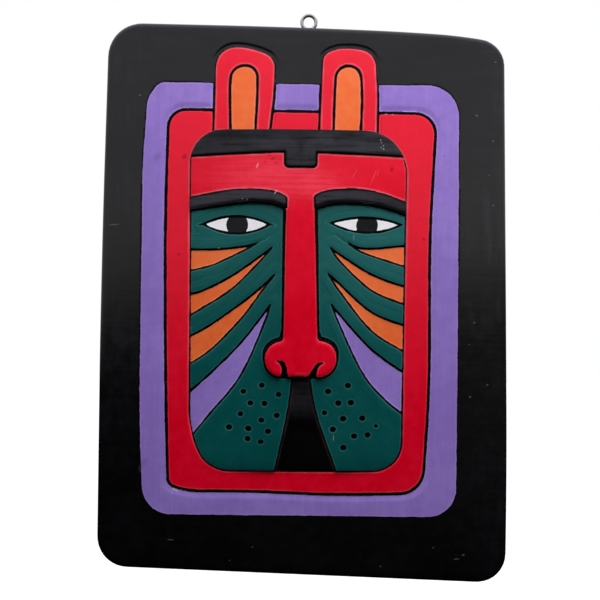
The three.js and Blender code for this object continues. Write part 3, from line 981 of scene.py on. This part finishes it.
SMUDGES = [(-108.0, 104.0, 2.6, 2.0, 50), (-115.0, -118.5, 3.2, 1.8, 50), (-117.0, -122.0, 2.4, 1.2, 60)]
FINE_SCRATCHES = [
    (48.9, 90.2, 5.2, 0.28, 68), (52.2, 93.6, 2.6, 0.22, 72), (44.6, 71.1, 5.0, 0.35, 6),
    (41.0, 72.2, 3.0, 0.28, -8), (-45.6, 71.4, 4.2, 0.3, 4), (-30.0, 73.0, 5.0, 0.25, -3),
    (-139.0, 54.2, 3.5, 0.4, 5), (35.0, 92.0, 4.0, 0.2, 60),
]

# Each kind of mark with how soft its edges are, how strong it is, and its colour.
MARKS = [
    (SMUDGES, 0.8, 0.28, SMUDGE),
    (DARK_MARKS, 0.5, 0.55, DARK_RED),
    (PALE_CHIPS, 0.45, 0.42, BARE_GROUND),
    (BRIGHT_CHIPS, 0.35, 0.8, BARE_GROUND),
    (PALE_SPECKS, 0.6, 0.12, BARE_GROUND),
    (FINE_SCRATCHES, 0.6, 0.10, BARE_GROUND),
]


class BrushPaint(Finish):
    """Brush paint on wood, with the strokes and clouds that all its colours share."""

    def __init__(self, name):
        super().__init__(name)
        self.clouds = self.noise(22, 4.0, 0.6)
        self.mottling = self.noise(120, 4.0, 0.65)
        self.tone = self.math("ADD", self.scaled(self.clouds, 0.5), self.scaled(self.mottling, 0.5))
        self.level_strokes = self.noise(46, 5.0, 0.65, stretch=(0.45, 1, 10))
        self.upright_strokes = self.noise(46, 5.0, 0.65, stretch=(10, 1, 0.5))
        along_bands = self.node(
            "ShaderNodeCombineXYZ",
            {"X": self.scaled(self.field("strokes"), 0.010), "Y": self.scaled(self.clouds, 0.03)},
        ).outputs[0]
        self.band_strokes = self.noise(75, 4.0, 0.7, at=along_bands)
        # Painted light: the colours paler towards the top, and a painted sheen broken up by brush strokes.
        self.painted_upper_sheen = self.field("painted_upper_sheen")
        self.painted_sheen = self.field("painted_sheen")
        streaky = self.math("ADD", self.level_strokes, self.scaled(self.mottling, 0.4))
        self.streaked_painted_sheen = self.math("MULTIPLY", self.painted_sheen, self.ramp(streaky, 0.45, 0.85, 0.35, 1.0))

    def scaled(self, value, amount):
        """A value times a plain number."""
        return self.math("MULTIPLY", value, amount)

    def brushed(self, dark, pale, strokes, amount):
        """A colour that its strokes and its uneven thickness turn paler here and there."""
        share = self.math("ADD", self.scaled(self.tone, 0.75), self.scaled(strokes, 0.25))
        return self.mix(self.ramp(share, 0.40, 0.62, 0.0, amount), dark, pale)

    def black(self):
        """The board's black with a painted sheen, stronger towards the top and right, streaked grey:
        brushed level in the middle and upright at the sides.
        """
        across = self.math("ABSOLUTE", self.node("ShaderNodeSeparateXYZ", {0: self.place}).outputs["X"])
        strokes = self.mix(
            self.ramp(across, SIDES_START, SIDES_FULL),
            self.noise(30, 5.0, 0.7, stretch=(0.5, 1, 6)),
            self.noise(30, 5.0, 0.7, stretch=(7, 1, 0.5)),
        )
        streaks = self.math("MULTIPLY", self.ramp(strokes, 0.42, 0.68), self.ramp(self.clouds, 0.38, 0.62))
        side_strength = self.ramp(across, SIDES_START, SIDES_FULL, 1.6, 3.0)
        strength = self.math("MULTIPLY", self.painted_sheen, side_strength, clamp=True)
        paint = self.brushed(BLACK, GREYED_BLACK, self.level_strokes, 0.6)
        # Painted sheen over the black, and at the sides painted sheen in grey streaks.
        paint = self.mix(self.streaked_painted_sheen, paint, GREY_PAINTED_SHEEN)
        return self.mix(self.math("MULTIPLY", streaks, strength), paint, GREY_PAINTED_SHEEN)

    def red(self):
        paint = self.brushed(RED, PALE_RED, self.mottling, 0.75)
        # Painted light from above, then a painted sheen in streaks.
        paint = self.mix(self.scaled(self.painted_upper_sheen, 0.6), paint, RED_PAINTED_UPPER_SHEEN)
        return self.mix(self.streaked_painted_sheen, paint, PINK_PAINTED_SHEEN)

    def orange(self):
        paint = self.brushed(ORANGE, PALE_ORANGE, self.mottling, 0.7)
        # Painted light, paler towards the top.
        return self.mix(self.scaled(self.painted_upper_sheen, 0.55), paint, ORANGE_PAINTED_UPPER_SHEEN)

    def green(self):
        # Painted light on the green, paler towards the top and broken up by the strokes.
        painted_light_share = self.math("MULTIPLY", self.painted_upper_sheen, self.ramp(self.band_strokes, 0.35, 0.7, 0.35, 0.85))
        return self.mix(painted_light_share, self.brushed(GREEN, PALE_GREEN, self.band_strokes, 0.55), GREEN_PAINTED_UPPER_SHEEN)

    def paints(self):
        """Each colour over the black, with a painted highlight along its edge, in the order of PAINTS."""
        return (
            (self.brushed(LILAC, PALE_LILAC, self.upright_strokes, 0.7), LILAC_EDGE_HIGHLIGHT),
            (self.red(), RED_EDGE_HIGHLIGHT),
            (self.orange(), ORANGE_EDGE_HIGHLIGHT),
            (self.green(), GREEN_EDGE_HIGHLIGHT),
            (self.brushed(WHITE, PALE_WHITE, self.level_strokes, 0.9), PALE_WHITE),
            (self.brushed(IRIS, PALE_IRIS, self.band_strokes, 0.9), PALE_IRIS),
        )

    def wavering(self):
        """How far a brushed edge strays, in millimetres."""
        waver = self.math("SUBTRACT", self.noise(150, 2.0), 0.5)
        tremble = self.scaled(self.math("SUBTRACT", self.noise(620, 2.0), 0.5), 0.5)
        return self.math("ADD", waver, tremble)

    def lay_on(self, colour):
        """Lays each paint over a colour, and gives the new colour and where thick paint lies."""
        strays = self.wavering()
        thickness = 0.0
        # The irises are painted thin, so they add no thickness.
        for field, (paint, ridge) in zip(PAINTS, self.paints()):
            edge = self.math("ADD", self.field(field), strays)
            laid = self.ramp(edge, 0.20, -0.20)
            # A painted highlight lies just inside each colour's edge.
            near_edge = self.ramp(edge, -1.15, -0.35, 0.0, 0.62)
            edge_highlight_share = self.math("MULTIPLY", near_edge, self.ramp(self.clouds, 0.35, 0.6, 0.4, 1.0))
            colour = self.mix(laid, colour, self.mix(edge_highlight_share, paint, ridge))
            if field != "iris_gap":
                thickness = self.math("MAXIMUM", laid, thickness)
        return colour, thickness

    def wear(self, colour):
        """Shows worn edges with painted edge highlights, and small marks, over a colour."""
        patchy = self.ramp(self.math("ADD", self.clouds, self.mottling), 0.75, 1.15, 0.25, 0.62)
        colour = self.mix(self.math("MULTIPLY", self.field("edge_wear_and_highlight"), patchy), colour, WORN_EDGE_AND_HIGHLIGHT)
        for marks, soft, strength, tone in MARKS:
            colour = self.mix(self.scaled(self.spots(marks, soft), strength), colour, tone)
        return colour


def painted_wood(name, gloss):
    """Satin brush paint, each colour laid up to its own wavering edge."""
    m = BrushPaint(name)
    colour, thickness = m.lay_on(m.black())
    m.give("Base Color", m.wear(colour))
    m.give("Roughness", m.ramp(m.mottling, 0.3, 0.75, 0.15, 0.22))
    m.give("Specular IOR Level", gloss)

    relief = m.scaled(thickness, 0.35)
    for pattern, amount in ((m.level_strokes, 0.18), (m.mottling, 0.25), (m.band_strokes, 0.2)):
        relief = m.math("ADD", relief, m.scaled(pattern, amount))
    bump = m.node("ShaderNodeBump", {"Strength": 0.30, "Distance": 0.0003, "Height": relief})
    m.give("Normal", bump.outputs[0])
    return m.material


def nickel_wire():
    """Bright nickel plate, slightly uneven as handled wire is."""
    m = Finish("bright nickel wire")
    cloud = m.noise(900, 3.0)
    m.give("Base Color", m.mix(cloud, DULL_NICKEL, BRIGHT_NICKEL))
    m.give("Metallic", 1.0)
    m.give("Roughness", m.ramp(cloud, 0.3, 0.7, 0.16, 0.30))
    fine = m.noise(2600, 2.0)
    bump = m.node("ShaderNodeBump", {"Strength": 0.12, "Distance": 0.0001, "Height": fine})
    m.give("Normal", bump.outputs[0])
    return m.material


# ---- The scene ----

# The view, in millimetres, and how far it is rolled, in radians.
VIEW_DISTANCE = 505
VIEW_HALF_WIDTH = 222.6
VIEW_X = -4.1
VIEW_Z = -205.9
VIEW_ROLL = 0.01222

# In metres.
FLOOR_Z = -0.62
FLOOR_HALF_SIZE = 3.0

# The studio's tones, linear: its upper half from left to right, then higher up, then its lower half.
BRIGHT_LEFT, BRIGHT_RIGHT = (0.57, 0.57, 0.58), (0.73, 0.73, 0.73)
BRIGHT_BAND, BRIGHT_TOP = (0.64, 0.65, 0.71), (1.15, 1.18, 1.32)
DARK_LEFT, DARK_RIGHT = (0.006, 0.006, 0.008), (0.060, 0.058, 0.056)
DARK_BOTTOM = (0.001, 0.001, 0.002)
NO_LIGHT, WHITE_BACKDROP = (0.0, 0.0, 0.0), (1.0, 1.0, 1.0)


def camera():
    """Looks straight at the plaque from the front, rolled a little."""
    data = bpy.data.cameras.new("camera")
    data.sensor_width = 36
    data.angle = 2 * math.atan(VIEW_HALF_WIDTH / VIEW_DISTANCE)
    viewer = added("camera", data)
    right = Vector((math.cos(VIEW_ROLL), 0, math.sin(VIEW_ROLL)))
    up = Vector((-math.sin(VIEW_ROLL), 0, math.cos(VIEW_ROLL)))
    back = Vector((0, -1, 0))
    turned = Matrix((right, up, back)).transposed().to_4x4()
    viewer.matrix_world = Matrix.Translation((VIEW_X * MM, -VIEW_DISTANCE * MM, VIEW_Z * MM)) @ turned
    bpy.context.scene.camera = viewer


def floor():
    """A plain pale floor, well below the hanging plaque."""
    bm = bmesh.new()
    bmesh.ops.create_grid(bm, x_segments=1, y_segments=1, size=FLOOR_HALF_SIZE)
    bmesh.ops.translate(bm, vec=(0, 0, FLOOR_Z), verts=bm.verts)
    mesh = bpy.data.meshes.new("pale floor")
    bm.to_mesh(mesh)
    bm.free()
    ground = added("pale_floor", mesh)
    ground.visible_glossy = False
    ground.visible_diffuse = False
    m = Finish("pale floor")
    m.give("Base Color", (0.9, 0.9, 0.9, 1))
    m.give("Roughness", 0.9)
    m.give("Emission Color", (1, 1, 1, 1))
    m.give("Emission Strength", 0.75)
    mesh.materials.append(m.material)


def soft_light(name, place, aim, size, power):
    """A square lamp that reflections don't show."""
    data = bpy.data.lights.new(name, "AREA")
    data.shape = "SQUARE"
    data.size = size
    data.energy = power
    lamp = added(name, data)
    direction = Vector(aim) - Vector(place)
    lamp.matrix_world = Matrix.Translation(place) @ direction.to_track_quat("-Z", "Y").to_matrix().to_4x4()
    lamp.visible_glossy = False


def surroundings():
    """A pale studio: bright above eye level, dark below it, white behind the plaque."""
    world = bpy.data.worlds.new("studio")
    bpy.context.scene.world = world
    world.use_nodes = True
    w = Wiring(world.node_tree)
    direction = w.node("ShaderNodeTexCoord").outputs["Generated"]
    parts = w.node("ShaderNodeSeparateXYZ", {0: direction}).outputs
    level = w.math("ADD", w.math("MULTIPLY", parts["X"], -0.06), parts["Z"])
    bright = w.mix(w.ramp(parts["X"], -0.28, 0.28), BRIGHT_LEFT, BRIGHT_RIGHT)
    bright = w.mix(w.ramp(parts["Z"], 0.12, 0.38), bright, BRIGHT_BAND)
    bright = w.mix(w.ramp(parts["Z"], 0.40, 0.85), bright, BRIGHT_TOP)
    dark = w.mix(w.ramp(parts["X"], -0.25, 0.25), DARK_LEFT, DARK_RIGHT)
    dark = w.mix(w.ramp(level, -0.42, -0.12), DARK_BOTTOM, dark)
    studio = w.mix(w.ramp(level, -0.045, 0.085), dark, bright)
    paths = w.node("ShaderNodeLightPath").outputs
    studio = w.mix(w.math("MULTIPLY", paths["Is Diffuse Ray"], 0.7), studio, NO_LIGHT)
    seen = w.mix(paths["Is Camera Ray"], studio, WHITE_BACKDROP)
    w.feed(world.node_tree.nodes["Background"].inputs["Color"], seen)


camera()

# The finishes in the order that choose_finish counts them: the board's black, colours, black lines.
finishes = (
    painted_wood("satin brush paint", gloss=0.5),
    painted_wood("duller coloured paint", gloss=0.13),
    painted_wood("matt black line paint", gloss=0.05),
)
board = carved_board()
panel = face_panel()
for piece in (board, panel):
    for finish in finishes:
        piece.data.materials.append(finish)
    choose_finish(piece)
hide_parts("carved_board")

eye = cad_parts["screw_eye"]
eye.data.materials.clear()
eye.data.materials.append(nickel_wire())

floor()
surroundings()
soft_light("high soft light", place=(0.13, -0.46, 0.38), aim=(0, 0, -0.16), size=0.55, power=6.4)
bpy.context.scene.view_settings.view_transform = "Standard"
